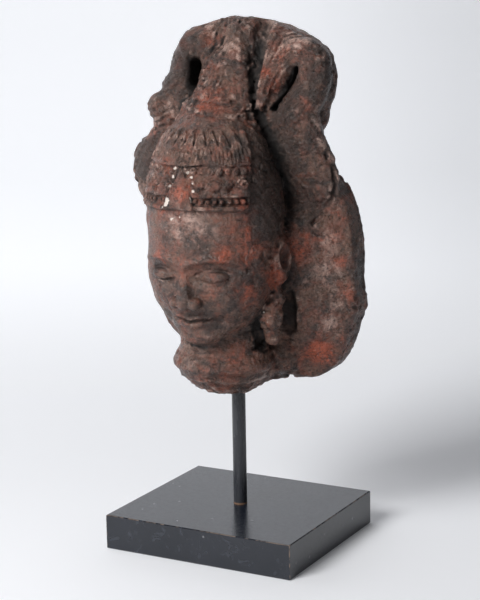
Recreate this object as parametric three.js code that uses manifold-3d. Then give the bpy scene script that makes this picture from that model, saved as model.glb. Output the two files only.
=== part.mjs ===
// A carved stone head in high relief, held up by a steel rod on a low black plinth.
// Millimetres, +Z up. The origin is the centre of the plinth's underside, and the face looks along -Y.

import * as THREE from "three";
import { mergeVertices } from "three/addons/utils/BufferGeometryUtils.js";
import Module from "manifold-3d";

// Plinth and rod
const PLINTH_WIDTH = 190;
const PLINTH_DEPTH = 170;
const PLINTH_HEIGHT = 32.5;
const PLINTH_EDGE = 0.8;
const ROD_DIAMETER = 12.7;
const ROD_SHOWING = 107.5;
const ROD_IN_PLINTH = 24;
const ROD_IN_HEAD = 48;
const ROD_EDGE = 0.8;
const FIT_GAP = 0.3;
const ROUND_SIDES = 48;

// Carved head: its height sets its size, and every form on it is a share of that height
const HEAD_HEIGHT = 340;
const FACETS = 8700;
const GRID_SPACING = 2.8;

// The carving is drawn at this height, with its underside at this level
const DRAWN_HEIGHT = 340;
const DRAWN_FOOT = 140;

// Soft joins of two forms, where k is the width of the blend
function smoothMin(a, b, k) {
  const h = Math.min(Math.max(0.5 + (0.5 * (b - a)) / k, 0), 1);
  return b + (a - b) * h - k * h * (1 - h);
}

function smoothMax(a, b, k) {
  return -smoothMin(-a, -b, k);
}

function smoothStep(low, high, value) {
  const t = Math.min(Math.max((value - low) / (high - low), 0), 1);
  return t * t * (3 - 2 * t);
}

function bell(value, centre, width) {
  return Math.exp(-(((value - centre) / width) ** 2));
}

function ellipsoid([x, y, z], [cx, cy, cz], [rx, ry, rz]) {
  const ux = (x - cx) / rx;
  const uy = (y - cy) / ry;
  const uz = (z - cz) / rz;
  const k0 = Math.sqrt(ux * ux + uy * uy + uz * uz);
  const k1 = Math.sqrt((ux / rx) ** 2 + (uy / ry) ** 2 + (uz / rz) ** 2);
  return (k0 * (k0 - 1)) / Math.max(k1, 1e-6);
}

// A round bar from a to b, with its own radius at each end
function bar([x, y, z], [ax, ay, az], [bx, by, bz], ra, rb) {
  const dx = bx - ax;
  const dy = by - ay;
  const dz = bz - az;
  const run = (x - ax) * dx + (y - ay) * dy + (z - az) * dz;
  const t = Math.min(Math.max(run / (dx * dx + dy * dy + dz * dz), 0), 1);
  return Math.hypot(x - ax - dx * t, y - ay - dy * t, z - az - dz * t) - (ra + (rb - ra) * t);
}

// The same bar, made flatter along Y
function flatBar([x, y, z], [ax, ay, az], [bx, by, bz], ra, rb, squeeze) {
  const d = bar([x, y * squeeze, z], [ax, ay * squeeze, az], [bx, by * squeeze, bz], ra, rb);
  return d / Math.sqrt(squeeze);
}

// An oval ring that faces along Y
function ring([x, y, z], [cx, cy, cz], rx, rz, tube) {
  const ux = (x - cx) / rx;
  const uz = (z - cz) / rz;
  const k0 = Math.hypot(ux, uz);
  const k1 = Math.hypot(ux / rx, uz / rz);
  const flat = (k0 * (k0 - 1)) / Math.max(k1, 1e-6);
  return Math.hypot(flat, y - cy) - tube;
}

// A squarish oval in the X-Z plane
function oval(x, z, [cx, cz], [rx, rz], power) {
  const ux = (Math.abs(x - cx) / rx) ** power;
  const uz = (Math.abs(z - cz) / rz) ** power;
  const sum = ux + uz + 1e-9;
  return (sum ** (1 / power) - 1) * ((rx * ux + rz * uz) / sum);
}

// A slow uneven swell, as a hand-cut surface has
function unevenness([x, y, z], size, seed) {
  const f = (2 * Math.PI) / size;
  const ax = Math.sin(x * f * 0.81 + 1.3 * Math.sin(z * f * 0.53 + seed) + seed);
  const ay = Math.sin(y * f * 0.77 + 1.1 * Math.sin(x * f * 0.61) + 2.1 * seed);
  const bz = Math.sin(z * f * 0.93 + 1.2 * Math.sin(y * f * 0.47 + 1.7) + 0.7 * seed);
  const bx = Math.sin(x * f * 0.59 - z * f * 0.37 + 3.1 + seed);
  return 0.6 * ax * ay + 0.6 * bz * bx;
}

// The face is a calm one on even thirds, in a frame of its own that leans forward a little
const FACE_LEAN = THREE.MathUtils.degToRad(8);
const FACE_CENTRE = [0, -38, 272];
const FACE_THIRD = 40;
const EYE_X = 24;
const CHIN_Z = -68;
const NOSE_Z = CHIN_Z + FACE_THIRD;
const BROW_Z = NOSE_Z + FACE_THIRD;
const EYE_Z = BROW_Z - FACE_THIRD / 3;
const MOUTH_Z = NOSE_Z - FACE_THIRD / 3;

function face([px, py, pz]) {
  const dy = py - FACE_CENTRE[1];
  const dz = pz - FACE_CENTRE[2];
  const x = px - FACE_CENTRE[0];
  const y = dy * Math.cos(FACE_LEAN) + dz * Math.sin(FACE_LEAN);
  const z = dz * Math.cos(FACE_LEAN) - dy * Math.sin(FACE_LEAN);
  const side = Math.abs(x);
  const half = [side, y, z];
  const skull = ellipsoid(half, [0, 3, 18], [61, 58, 66]);
  const jaw = ellipsoid(half, [0, -8, -22], [54, 45, 46]);
  let d = smoothMin(skull, jaw, 24);

  const front = smoothStep(-12, -30, y);
  const offEye = (side - EYE_X) / 20;
  const browLine = BROW_Z + 3.5 - 4.5 * offEye ** 2;
  let relief = 2.4 * bell(z, browLine, 2.8) * (1 - smoothStep(44, 54, side));
  relief -= 4.6 * bell(side, EYE_X - 1, 14) * bell(z, EYE_Z + 3.5, 8.5);
  relief += 1.8 * bell(side, 32, 14) * bell(z, NOSE_Z + 10, 14);
  const lip = Math.max(1 - (side / 23.5) ** 2, 0);
  const parting = MOUTH_Z - 0.8 * Math.cos(side * 0.33) + 1.6 * (side / 19) ** 2;
  relief += lip ** 0.6 * 3.4 * bell(z, parting + 3.2 - 0.04 * side, 2.7);
  relief += lip * 4.0 * bell(z, parting - 3.9, 3.4);
  relief -= lip ** 0.6 * 2.6 * bell(z, parting, 1.2);
  relief -= 1.6 * bell(z, MOUTH_Z - 11.5, 3.2) * bell(side, 0, 12);
  d -= relief * front;

  d = smoothMin(d, ellipsoid(half, [0, -37, CHIN_Z + 13], [20, 13, 13]), 14);
  d = smoothMin(d, ellipsoid(half, [EYE_X, -42.5, EYE_Z - 0.5], [14.5, 12.6, 8]), 1.4);
  d = smoothMin(d, bar(half, [0, -50.5, BROW_Z - 1], [0, -60.5, NOSE_Z + 6.5], 4.2, 7), 4.5);
  return smoothMin(d, ellipsoid(half, [9, -56, NOSE_Z + 5], [6.2, 7.5, 5.4]), 2);
}

function ears([x, y, z]) {
  const p = [Math.abs(x), y, z];
  const shell = ellipsoid(p, [60, -27, 274], [8, 13, 21]);
  const bowl = ellipsoid(p, [68, -31, 277], [6, 8, 13]);
  const lobe = bar(p, [59, -29, 260], [56, -34, 248], 6, 5);
  return smoothMin(smoothMax(shell, -bowl, 2), lobe, 3);
}

// Each ear carries a pendant; the left one is worn and lies nearer the slab
const RIGHT_PENDANT = [54, -36];
const LEFT_PENDANT = [-50, -16];

function pendants([x, y, z]) {
  const [cx, cy] = x > 0 ? RIGHT_PENDANT : LEFT_PENDANT;
  const p = [(x - cx) * Math.sign(cx), y - cy, z];
  let d = ellipsoid(p, [0, -1, 226], [11.5, 11, 16]);
  d = smoothMin(d, ellipsoid(p, [-6, -5, 238], [6.5, 7, 8.5]), 1.5);
  d = smoothMin(d, ellipsoid(p, [5, 3, 240], [7, 7.5, 9.5]), 1.5);
  return smoothMin(d, bar(p, [0, 0, 218], [-1, 4, 203], 8, 6.5), 2);
}

// The deep cuts each side of a pendant
function pendantCuts([x, y, z]) {
  const side = Math.abs(x);
  const outer = bar([side, y * 0.6, z], [63, -9, 238], [60, -6, 207], 4.4, 5);
  const inner = bar([side, y, z], [41, -34, 226], [41, -28, 200], 6, 8);
  return Math.min(outer, inner);
}

// The headdress is a tall dome with a banded diadem round its front
const DOME = [0, -35, 307];
const DOME_RADII = [62, 61, 100];
const DOME_GIRTH = 61;
const RIM_Z = 323;
const BEAD_Z = 330.5;
const FLOWER_Z = 344;
const PANEL_TOP_Z = 362;
const LEAF_Z = 375;
const CROWN_Z = 391;
const DIADEM_REACH = 66;
const FLOWER_PITCH = 25;
const ARCH_MIDDLE = 31;
const BUD_Z = 356;
const LEAF_PITCH = 14;
const FRONT_LEAF = { middle: -3, half: 16, top: 361 };

function band(z, low, high, soft) {
  return smoothStep(low - soft, low + soft, z) * (1 - smoothStep(high - soft, high + soft, z));
}

function repeat(value, pitch) {
  return value - pitch * Math.round(value / pitch);
}

function diademRelief([x, y, z]) {
  const along = Math.atan2(x - DOME[0], DOME[1] - y) * DOME_GIRTH;
  const reach = DIADEM_REACH + (z - PANEL_TOP_Z + 12) * 0.25 + (x < 0 ? 15 : 0);
  const inside = 1 - smoothStep(reach - 1.5, reach + 1.5, Math.abs(along));
  let rise = 2.4 * band(z, RIM_Z, CROWN_Z, 1.2);
  rise += 1.0 * band(z, RIM_Z, RIM_Z + 3.6, 0.7);
  rise -= 1.3 * band(z, BEAD_Z - 3.4, BEAD_Z + 3.2, 0.7);
  rise += 0.8 * band(z, BEAD_Z + 3.4, BEAD_Z + 5.6, 0.7);
  rise -= 1.4 * band(z, BEAD_Z + 6, PANEL_TOP_Z - 2, 0.7);

  const u = Math.abs(repeat(along - ARCH_MIDDLE, FLOWER_PITCH));
  const arch = FLOWER_Z - 7 + 14 * (1 - (u / 12) ** 2);
  rise += 1.9 * (1 - smoothStep(-1.2, 0.4, z - arch)) * band(z, BEAD_Z + 6, FLOWER_Z + 8, 0.7);
  rise += 1.6 * (1 - smoothStep(3.4, 4.9, Math.hypot(u, z - FLOWER_Z)));
  rise += 1.8 * (1 - smoothStep(2.6, 4, Math.hypot(u - FLOWER_PITCH / 2, z - FLOWER_Z - 1.5)));
  rise += 1.2 * band(z, BUD_Z - 2, BUD_Z + 2, 0.7);
  rise += 0.8 * band(z, PANEL_TOP_Z - 1.6, PANEL_TOP_Z + 0.6, 0.7);

  const leafX = Math.abs(repeat(along, LEAF_PITCH)) / (LEAF_PITCH / 2);
  const tip = LEAF_Z + 15 * (1 - leafX ** 1.8);
  rise += band(z, LEAF_Z, CROWN_Z, 1.2) * (2.6 * (1 - smoothStep(tip - 1.6, tip + 0.9, z)) - 2.4);

  const taper = Math.max((FRONT_LEAF.top - z) / (FRONT_LEAF.top - RIM_Z), 0);
  const half = FRONT_LEAF.half * Math.min(taper, 1) ** 0.85;
  const leafSide = Math.abs(along - FRONT_LEAF.middle);
  const leaf = (1 - smoothStep(half - 1, half + 0.6, leafSide)) * (1 - smoothStep(358, 362, z));
  const edge = bell(leafSide, half + 0.4, 1.1) * band(z, RIM_Z - 1, FRONT_LEAF.top, 0.7);
  rise = rise * (1 - leaf) + 3.4 * leaf * smoothStep(RIM_Z - 1.4, RIM_Z + 0.6, z) - 2 * edge;
  return rise * inside;
}

function headdress(p) {
  const [x, y, z] = p;
  const cone = bar([(x + 5) / 1.4, y, z], [3, -32, 362], [0, -15, 402], 35, 26);
  const crown = smoothMax(cone, z - 0.05 * x - 413, 6);
  return smoothMin(ellipsoid(p, DOME, DOME_RADII), crown, 10) - diademRelief(p);
}

// The flaring back slab, thick beside the head and thin at its edge
const BACK_Y = 52;
const SLAB_FRONT_Y = 16;
const SLAB_SWELL = 46;

function slab(p) {
  const [x, y, z] = p;
  const dip = 4 * bell(z, 226, 15) * smoothStep(60, 90, x);
  const right = oval(x, z, [46, 256], [64, 96], 2.8) - dip;
  const lowRight = oval(x, z, [60, 198], [34, 41], 2.4);
  const left = oval(x, z, [-36, 262], [62, 88], 2.6);
  const waist = oval(x, z, [-4, 360], [76, 70], 2.6);
  const outline = smoothMin(smoothMin(smoothMin(right, lowRight, 8), left, 14), waist, 14);
  const inward = Math.min(Math.max(-outline / 70, 0), 1);
  const front = SLAB_FRONT_Y - SLAB_SWELL * inward - y;
  const back = y - BACK_Y + 9.6 * (1 - inward) ** 3;
  return smoothMax(outline, Math.max(front, back), 3);
}

// Broad flat locks that hang each side of the dome
function locks(p) {
  const right = flatBar(p, [51, 1, 380], [66, 13, 339], 35, 32, 2.2);
  const left = flatBar(p, [-70, 3, 345], [-64, 8, 311], 38, 33, 2.2);
  return Math.min(right, left);
}

// Points turned about a place in the X-Z plane, so that what leans there stands up
function leaned([x, y, z], [cx, , cz], degrees) {
  const angle = THREE.MathUtils.degToRad(degrees);
  const dx = x - cx;
  const dz = z - cz;
  const turnedX = cx + dx * Math.cos(angle) - dz * Math.sin(angle);
  const turnedZ = cz + dx * Math.sin(angle) + dz * Math.cos(angle);
  return [turnedX, y, turnedZ];
}

// The topknot: two loops of hair, each with a hole through its middle, and a tress between them
const RIGHT_LOOP = [56, 12, 423];
const LEFT_LOOP = [-36, 8, 431];

function topknot(p) {
  const [x, y, z] = p;
  const forward = y + 0.2 * Math.min(Math.max(455 - z, 0), 60);
  const q = [x, forward, z];
  const outline = oval(x, z + 0.13 * Math.max(x, 0), [8, 437], [78, 44], 2.4);
  const mass = smoothMax(outline, Math.abs(forward - 29) - 22, 14);
  let d = smoothMin(mass, ellipsoid(q, [2, 20, 440], [50, 24, 38]), 14);
  const rightLoop = ring(leaned(q, RIGHT_LOOP, 30), RIGHT_LOOP, 17, 27, 17);
  const leftLoop = ring(q, LEFT_LOOP, 14, 27, 15);
  d = smoothMin(d, Math.min(rightLoop, leftLoop), 7);
  d = smoothMin(d, bar(p, [64, 26, 414], [67, 26, 392], 16, 14), 8);
  d = smoothMin(d, bar([(x + 4) / 1.1, y, z], [0, -14, 405], [0, -2, 436], 26, 20), 8);
  const rim = smoothMin(
    bar(p, [40, 6, 463], [37, -6, 432], 8.5, 8),
    bar(p, [37, -6, 432], [36, -15, 407], 8, 7),
    3,
  );
  d = smoothMin(d, rim, 4);
  d = smoothMin(d, bar(p, [2.5, 7, 466], [14, -16, 418], 12.5, 13.5), 3);
  d = smoothMax(d, -bar([x, y * 0.5, z], [25, 5, 490], [31.5, -13, 409], 11, 3), 3);
  const flat = [x, 0, z];
  const hole = bar(flat, [-35, 0, 440], [-36, 0, 426], 5.2, 6);
  return smoothMax(d, -Math.max(hole, forward - 26), 6);
}

// The long narrow hole through the right loop
function rightSlit([x, y, z]) {
  return Math.max(bar([x, 0, z], [66, 0, 438], [47, 0, 404], 2.7, 2.5), y - 20);
}

// The band that ties the hair below the loops
function tie(p) {
  const right = bar(p, [36, -6, 398], [72, 8, 388], 8, 8.5);
  const left = bar(p, [-38, -6, 398], [-70, 4, 392], 9, 9.5);
  return Math.min(right, left);
}

function curls(p) {
  const upper = ellipsoid(p, [-59, -2, 421], [12, 12, 11]);
  const lower = ellipsoid(p, [-74, -2, 402], [13, 13, 12]);
  return smoothMin(smoothMin(upper, lower, 8), bar(p, [-66, 3, 400], [-72, 7, 378], 13, 14), 10);
}

// The deep cut between the dome and the locks, the same on each side
const PARTING = [
  { at: [36, -17, 408], radius: 2.6 },
  { at: [42, -19, 385], radius: 3.2 },
  { at: [49, -20, 366], radius: 3.6 },
  { at: [55, -20, 346], radius: 3.8 },
  { at: [63, -17, 304], radius: 3.4 },
];

function partings([x, y, z]) {
  const p = [Math.abs(x + 5 * smoothStep(350, 400, z)), y, z];
  let d = Infinity;
  for (let i = 1; i < PARTING.length; i++) {
    const from = PARTING[i - 1];
    const to = PARTING[i];
    d = Math.min(d, bar(p, from.at, to.at, from.radius, to.radius));
  }
  return d;
}

// The neck swells to a lip where it broke
const LIP_Z = 175;

function neck([x, y, z]) {
  const radial = (Math.hypot(x / 41, (y + 25) / 39) - 1) * 40;
  const lip = 7.5 * bell(z, LIP_Z, z > LIP_Z ? 13 : 5);
  return smoothMax(smoothMax(radial + 1.5 - lip, z - 230, 4), 162 - z, 4);
}

// A notch in the lower edge between the neck and the slab
const NOTCH = { front: [47, 0, 157], back: [45, 70, 161] };

// The broken underside of the neck, which climbs to the slab on the right
function brokenNeck(p) {
  const low = ellipsoid(p, [-5, -14, 162], [40, 34, 19]);
  const high = ellipsoid(p, [30, 12, 176], [34, 26, 22]);
  return smoothMax(smoothMin(low, high, 12), DRAWN_FOOT - p[2], 4);
}

function carving(p) {
  let head = smoothMin(face(p), headdress(p), 2);
  head = smoothMin(head, ears(p), 3);
  let hair = smoothMin(topknot(p), tie(p), 5);
  hair = smoothMin(hair, curls(p), 6);
  const back = smoothMin(smoothMin(slab(p), locks(p), 3), hair, 7);
  let d = smoothMin(head, back, 4);
  d = smoothMin(d, neck(p), 4);
  d = smoothMin(d, brokenNeck(p), 6);
  d = smoothMax(d, -pendantCuts(p), 3);
  d = smoothMax(d, -bar(p, NOTCH.front, NOTCH.back, 4, 4), 3);
  d = smoothMax(d, -partings(p), 4);
  d = smoothMax(d, -rightSlit(p), 2);
  d = smoothMin(d, pendants(p), 2);
  return d + 0.7 * unevenness(p, 60, 0) + 0.3 * unevenness(p, 24, 1.7);
}

// The box that the carving lies in, as drawn
const CARVING_LOW = [-125, -122, 132];
const CARVING_HIGH = [128, 70, 496];

// How far a field may be from a true distance near its surface
const FIELD_SLACK = 4;

// A field's values on a regular grid, worked out point by point only near its surface
function sampleField(field, low, high, spacing) {
  const block = 4;
  const blocks = low.map((value, i) => Math.ceil((high[i] - value) / (spacing * block)));
  const [nx, ny, nz] = blocks.map((count) => count * block + 1);
  const values = new Float32Array(nx * ny * nz);
  const blockReach = (spacing * block * Math.sqrt(3)) / 2;
  const reach = blockReach + FIELD_SLACK;
  const at = (i, j, k) => [low[0] + i * spacing, low[1] + j * spacing, low[2] + k * spacing];
  const index = (i, j, k) => (i * ny + j) * nz + k;
  for (let bi = 0; bi <= blocks[0]; bi++) {
    for (let bj = 0; bj <= blocks[1]; bj++) {
      for (let bk = 0; bk <= blocks[2]; bk++) {
        const middle = field(at((bi + 0.5) * block, (bj + 0.5) * block, (bk + 0.5) * block));
        const near = Math.abs(middle) < reach;
        for (let i = bi * block; i < Math.min((bi + 1) * block, nx); i++) {
          for (let j = bj * block; j < Math.min((bj + 1) * block, ny); j++) {
            for (let k = bk * block; k < Math.min((bk + 1) * block, nz); k++) {
              values[index(i, j, k)] = near ? field(at(i, j, k)) : middle;
            }
          }
        }
      }
    }
  }
  return { values, size: [nx, ny, nz], index, low, spacing };
}

const CUBE_CORNERS = [0, 1, 2, 3, 4, 5, 6, 7].map((n) => [n & 1, (n >> 1) & 1, (n >> 2) & 1]);

// True where the marked corners of a cube hang together along its edges
function cornersJoin(marks) {
  const start = marks.indexOf(true);
  if (start < 0) {
    return true;
  }
  const reached = new Set([start]);
  const queue = [start];
  while (queue.length > 0) {
    const corner = queue.pop();
    for (const step of [1, 2, 4]) {
      const next = corner ^ step;
      if (marks[next] && !reached.has(next)) {
        reached.add(next);
        queue.push(next);
      }
    }
  }
  return marks.every((mark, corner) => !mark || reached.has(corner));
}

// Nudges the grid until each cell is crossed by one plain sheet, so that the surface is a true solid's
function settleCells({ values, size: [nx, ny, nz], index }) {
  const nudge = 0.02;
  const offsets = CUBE_CORNERS.map((corner) => index(...corner));
  let changed = true;
  for (let round = 0; changed && round < 12; round++) {
    changed = false;
    for (let i = 0; i < nx - 1; i++) {
      for (let j = 0; j < ny - 1; j++) {
        for (let k = 0; k < nz - 1; k++) {
          const cell = index(i, j, k);
          const isInside = values[cell] < 0;
          if (offsets.every((offset) => values[cell + offset] < 0 === isInside)) {
            continue;
          }
          const corners = offsets.map((offset) => cell + offset);
          const inside = corners.map((corner) => values[corner] < 0);
          if (cornersJoin(inside) && cornersJoin(inside.map((mark) => !mark))) {
            continue;
          }
          const held = corners.filter((corner, n) => inside[n]);
          held.sort((a, b) => values[b] - values[a]);
          values[held[0]] = nudge;
          changed = true;
        }
      }
    }
  }
}

// The zero surface of a grid as points and triangles, with one point in each cell that it crosses
function surfaceNet(grid) {
  const { values, size, index, low, spacing } = grid;
  const cells = new Map();
  const points = [];
  const cellPoint = (i, j, k) => {
    const key = index(i, j, k);
    if (cells.has(key)) {
      return cells.get(key);
    }
    const total = [0, 0, 0];
    let crossings = 0;
    for (const a of CUBE_CORNERS) {
      for (let axis = 0; axis < 3; axis++) {
        if (a[axis] === 1) {
          continue;
        }
        const b = [...a];
        b[axis] = 1;
        const va = values[index(i + a[0], j + a[1], k + a[2])];
        const vb = values[index(i + b[0], j + b[1], k + b[2])];
        if (va < 0 === vb < 0) {
          continue;
        }
        const t = va / (va - vb);
        for (let n = 0; n < 3; n++) {
          total[n] += a[n] + (b[n] - a[n]) * t;
        }
        crossings++;
      }
    }
    const cell = [i, j, k];
    points.push(cell.map((c, n) => low[n] + (c + total[n] / crossings) * spacing));
    cells.set(key, points.length - 1);
    return points.length - 1;
  };

  const triangles = [];
  for (let i = 1; i < size[0] - 1; i++) {
    for (let j = 1; j < size[1] - 1; j++) {
      for (let k = 1; k < size[2] - 1; k++) {
        const here = values[index(i, j, k)] < 0;
        for (let axis = 0; axis < 3; axis++) {
          const next = [i, j, k];
          next[axis] += 1;
          if (here === values[index(...next)] < 0) {
            continue;
          }
          const u = (axis + 1) % 3;
          const v = (axis + 2) % 3;
          const around = [[1, 1], [0, 1], [0, 0], [1, 0]].map(([du, dv]) => {
            const cell = [i, j, k];
            cell[u] -= du;
            cell[v] -= dv;
            return cellPoint(...cell);
          });
          const [a, b, c, d] = here ? around : around.reverse();
          triangles.push([a, b, c], [a, c, d]);
        }
      }
    }
  }
  return { points, triangles };
}

function faceNormal(a, b, c) {
  const ux = b[0] - a[0];
  const uy = b[1] - a[1];
  const uz = b[2] - a[2];
  const vx = c[0] - a[0];
  const vy = c[1] - a[1];
  const vz = c[2] - a[2];
  return [uy * vz - uz * vy, uz * vx - ux * vz, ux * vy - uy * vx];
}

// The point where a quadric is least, or null where its planes don't fix one
function quadricLow(q) {
  const det =
    q[0] * (q[4] * q[7] - q[5] * q[5]) -
    q[1] * (q[1] * q[7] - q[5] * q[2]) +
    q[2] * (q[1] * q[5] - q[4] * q[2]);
  const scale = q[0] + q[4] + q[7];
  if (Math.abs(det) < 1e-5 * scale ** 3) {
    return null;
  }
  const [a, b, c, d, e, f, g, h, i] = q;
  return [
    (-d * (e * h - f * f) + b * (g * h - f * i) - c * (g * f - e * i)) / det,
    (-a * (g * h - f * i) + d * (b * h - f * c) - c * (b * i - g * c)) / det,
    (-a * (e * i - g * f) + b * (b * i - g * c) - d * (b * f - e * c)) / det,
  ];
}

function quadricError(q, [x, y, z]) {
  const square = q[0] * x * x + q[4] * y * y + q[7] * z * z;
  const cross = q[1] * x * y + q[2] * x * z + q[5] * y * z;
  return square + 2 * (cross + q[3] * x + q[6] * y + q[8] * z) + q[9];
}

// A queue that always hands out the entry with the least cost
class CheapestFirst {
  entries = [];

  push(entry) {
    const { entries } = this;
    let n = entries.push(entry) - 1;
    while (n > 0) {
      const parent = (n - 1) >> 1;
      if (entries[parent].cost <= entries[n].cost) {
        break;
      }
      [entries[parent], entries[n]] = [entries[n], entries[parent]];
      n = parent;
    }
  }

  pop() {
    const { entries } = this;
    const first = entries[0];
    const last = entries.pop();
    if (entries.length > 0) {
      entries[0] = last;
      this.sink();
    }
    return first;
  }

  sink() {
    const { entries } = this;
    let n = 0;
    while (true) {
      let least = n;
      for (const child of [2 * n + 1, 2 * n + 2]) {
        if (child < entries.length && entries[child].cost < entries[least].cost) {
          least = child;
        }
      }
      if (least === n) {
        return;
      }
      [entries[least], entries[n]] = [entries[n], entries[least]];
      n = least;
    }
  }
}

// Adds a triangle's plane to a quadric, weighted by its area
function addPlane(quadric, [x, y, z], w, weight) {
  const terms = [x * x, x * y, x * z, x * w, y * y, y * z, y * w, z * z, z * w, w * w];
  terms.forEach((term, n) => {
    quadric[n] += term * weight;
  });
}

// Merges edges, least change first, until the mesh has the wanted number of triangles
function simplify({ points, triangles }, wanted) {
  const lengthWeight = 0.002;
  const leastTurn = 0.35;
  const leastShape = 0.02;
  const quadrics = points.map(() => new Float64Array(10));
  const around = points.map(() => new Set());
  const changes = new Int32Array(points.length);
  triangles.forEach((triangle, n) => {
    const [a, b, c] = triangle.map((v) => points[v]);
    const normal = faceNormal(a, b, c);
    const length = Math.hypot(...normal) || 1;
    const unit = normal.map((value) => value / length);
    const offset = -(unit[0] * a[0] + unit[1] * a[1] + unit[2] * a[2]);
    for (const v of triangle) {
      addPlane(quadrics[v], unit, offset, length / 2);
      around[v].add(n);
    }
  });

  const neighbours = (v) => {
    const found = new Set();
    for (const n of around[v]) {
      for (const other of triangles[n]) {
        if (other !== v) {
          found.add(other);
        }
      }
    }
    return found;
  };

  const queue = new CheapestFirst();
  const offer = (u, v) => {
    const sum = quadrics[u].map((value, n) => value + quadrics[v][n]);
    const pu = points[u];
    const pv = points[v];
    const middle = pu.map((value, n) => (value + pv[n]) / 2);
    const span = Math.hypot(pu[0] - pv[0], pu[1] - pv[1], pu[2] - pv[2]);
    let place = quadricLow(sum);
    if (!place || Math.hypot(...place.map((value, n) => value - middle[n])) > span) {
      place = middle;
    }
    const cost = quadricError(sum, place) + lengthWeight * span * span;
    queue.push({ cost, u, v, place, stamp: changes[u] + changes[v] });
  };

  // A merge is safe where it keeps the mesh one closed skin and turns no triangle over
  const isSafe = (u, v, place) => {
    const nearU = neighbours(u);
    let shared = 0;
    for (const w of neighbours(v)) {
      shared += nearU.has(w) ? 1 : 0;
    }
    if (shared !== 2) {
      return false;
    }
    for (const [moved, other] of [[u, v], [v, u]]) {
      for (const n of around[moved]) {
        const triangle = triangles[n];
        if (triangle.includes(other)) {
          continue;
        }
        const before = triangle.map((w) => points[w]);
        const after = triangle.map((w) => (w === moved ? place : points[w]));
        const old = faceNormal(...before);
        const now = faceNormal(...after);
        const dot = old[0] * now[0] + old[1] * now[1] + old[2] * now[2];
        const size = Math.hypot(...now);
        const [a, b, c] = after;
        const longest = Math.max(distance(a, b), distance(b, c), distance(c, a));
        if (dot < leastTurn * Math.hypot(...old) * size || size < leastShape * longest * longest) {
          return false;
        }
      }
    }
    return true;
  };

  for (let u = 0; u < points.length; u++) {
    for (const v of neighbours(u)) {
      if (u < v) {
        offer(u, v);
      }
    }
  }

  let count = triangles.length;
  while (count > wanted && queue.entries.length > 0) {
    const { u, v, place, stamp } = queue.pop();
    const stale = stamp !== changes[u] + changes[v] || around[u].size === 0 || around[v].size === 0;
    if (stale || !isSafe(u, v, place)) {
      continue;
    }
    for (const n of [...around[v]]) {
      const triangle = triangles[n];
      if (triangle.includes(u)) {
        triangle.forEach((w) => around[w].delete(n));
        triangles[n] = null;
        count--;
      } else {
        triangle[triangle.indexOf(v)] = u;
        around[u].add(n);
      }
    }
    around[v].clear();
    points[u] = place;
    quadrics[v].forEach((value, n) => {
      quadrics[u][n] += value;
    });
    changes[u]++;
    changes[v]++;
    for (const w of neighbours(u)) {
      offer(u, w);
    }
  }
  return { points, triangles: triangles.filter(Boolean) };
}

function distance(a, b) {
  return Math.hypot(a[0] - b[0], a[1] - b[1], a[2] - b[2]);
}

const wasm = await Module();
wasm.setup();

// A closed three.js geometry as a solid that can be cut
function toSolid(geometry) {
  const bare = geometry.clone();
  bare.deleteAttribute("normal");
  bare.deleteAttribute("uv");
  const merged = mergeVertices(bare, 1e-4);
  const vertProperties = new Float32Array(merged.getAttribute("position").array);
  const triVerts = new Uint32Array(merged.getIndex().array);
  return new wasm.Manifold(new wasm.Mesh({ numProp: 3, vertProperties, triVerts }));
}

function toGeometry(solid) {
  const { vertProperties, triVerts } = solid.getMesh();
  const geometry = new THREE.BufferGeometry();
  geometry.setAttribute("position", new THREE.BufferAttribute(vertProperties, 3));
  geometry.setIndex(new THREE.BufferAttribute(triVerts, 1));
  return geometry.toNonIndexed();
}

// A round upright bar between two levels, as a geometry
function uprightBar(radius, bottom, top) {
  const geometry = new THREE.CylinderGeometry(radius, radius, top - bottom, ROUND_SIDES);
  geometry.rotateX(Math.PI / 2);
  geometry.translate(0, 0, (top + bottom) / 2);
  return geometry;
}

// Levels and radii that the pieces share
const ROD_RADIUS = ROD_DIAMETER / 2;
const SOCKET_RADIUS = ROD_RADIUS + FIT_GAP;
const ROD_BOTTOM_Z = PLINTH_HEIGHT - ROD_IN_PLINTH;
const HEAD_BOTTOM_Z = PLINTH_HEIGHT + ROD_SHOWING;
const ROD_TOP_Z = HEAD_BOTTOM_Z + ROD_IN_HEAD;

function carvedHeadGeometry() {
  const grid = sampleField(carving, CARVING_LOW, CARVING_HIGH, GRID_SPACING);
  settleCells(grid);
  const { points, triangles } = simplify(surfaceNet(grid), FACETS);
  const scale = HEAD_HEIGHT / DRAWN_HEIGHT;
  const used = new Map();
  const positions = [];
  const numberOf = (v) => {
    if (!used.has(v)) {
      used.set(v, used.size);
      const [x, y, z] = points[v];
      positions.push(x * scale, y * scale, HEAD_BOTTOM_Z + (z - DRAWN_FOOT) * scale);
    }
    return used.get(v);
  };
  const index = triangles.flatMap((triangle) => triangle.map(numberOf));
  const geometry = new THREE.BufferGeometry();
  geometry.setAttribute("position", new THREE.Float32BufferAttribute(positions, 3));
  geometry.setIndex(index);
  const socket = uprightBar(SOCKET_RADIUS, HEAD_BOTTOM_Z - 2 * ROD_DIAMETER, ROD_TOP_Z + FIT_GAP);
  return toGeometry(toSolid(geometry).subtract(toSolid(socket)));
}

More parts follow.
